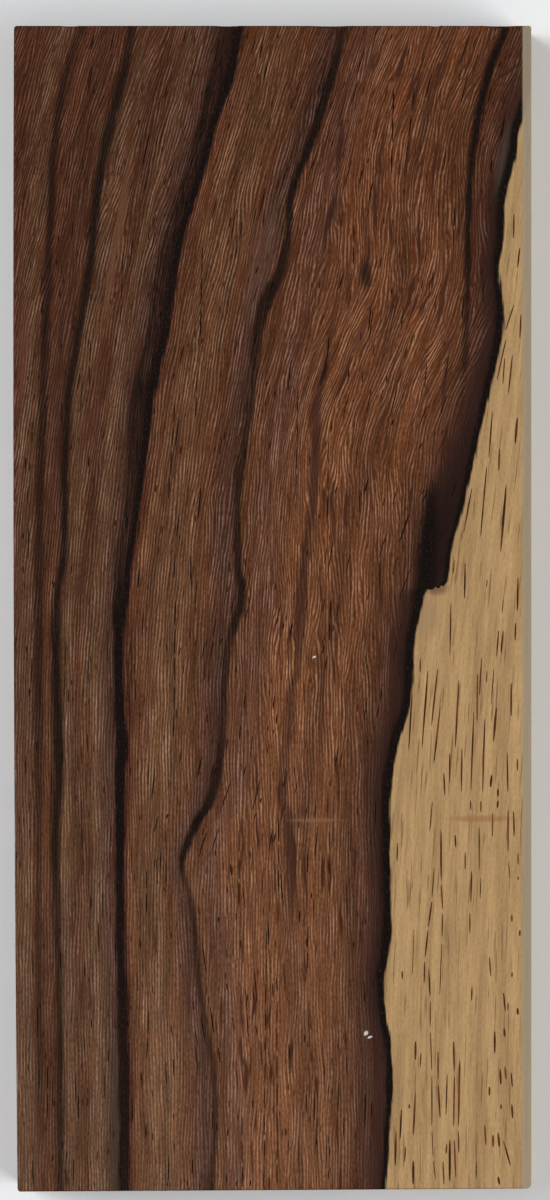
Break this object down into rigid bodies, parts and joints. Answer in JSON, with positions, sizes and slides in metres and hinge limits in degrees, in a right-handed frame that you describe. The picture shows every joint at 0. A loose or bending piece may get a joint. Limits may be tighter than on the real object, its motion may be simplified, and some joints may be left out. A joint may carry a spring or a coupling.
{
  "type": "burmese rosewood block",
  "caption": "Flat rectangular block of dark-veined rosewood with a pale sapwood edge, planed on its broad faces, with one rubbed-round arris.",
  "frame": {"origin": "middle of the back face, which is the face the block lies on", "axes": "+Z out of the planed show face, +Y along the grain towards the chipped end, +X across the grain towards the pale sapwood edge"},
  "size_m": [0.0666, 0.15, 0.012],
  "materials": {
    "rosewood": "planed and unvarnished, open pored, satin"
  },
  "bodies": {
    "root": {"rosewood_block": "rosewood"}
  },
  "joints": []
}
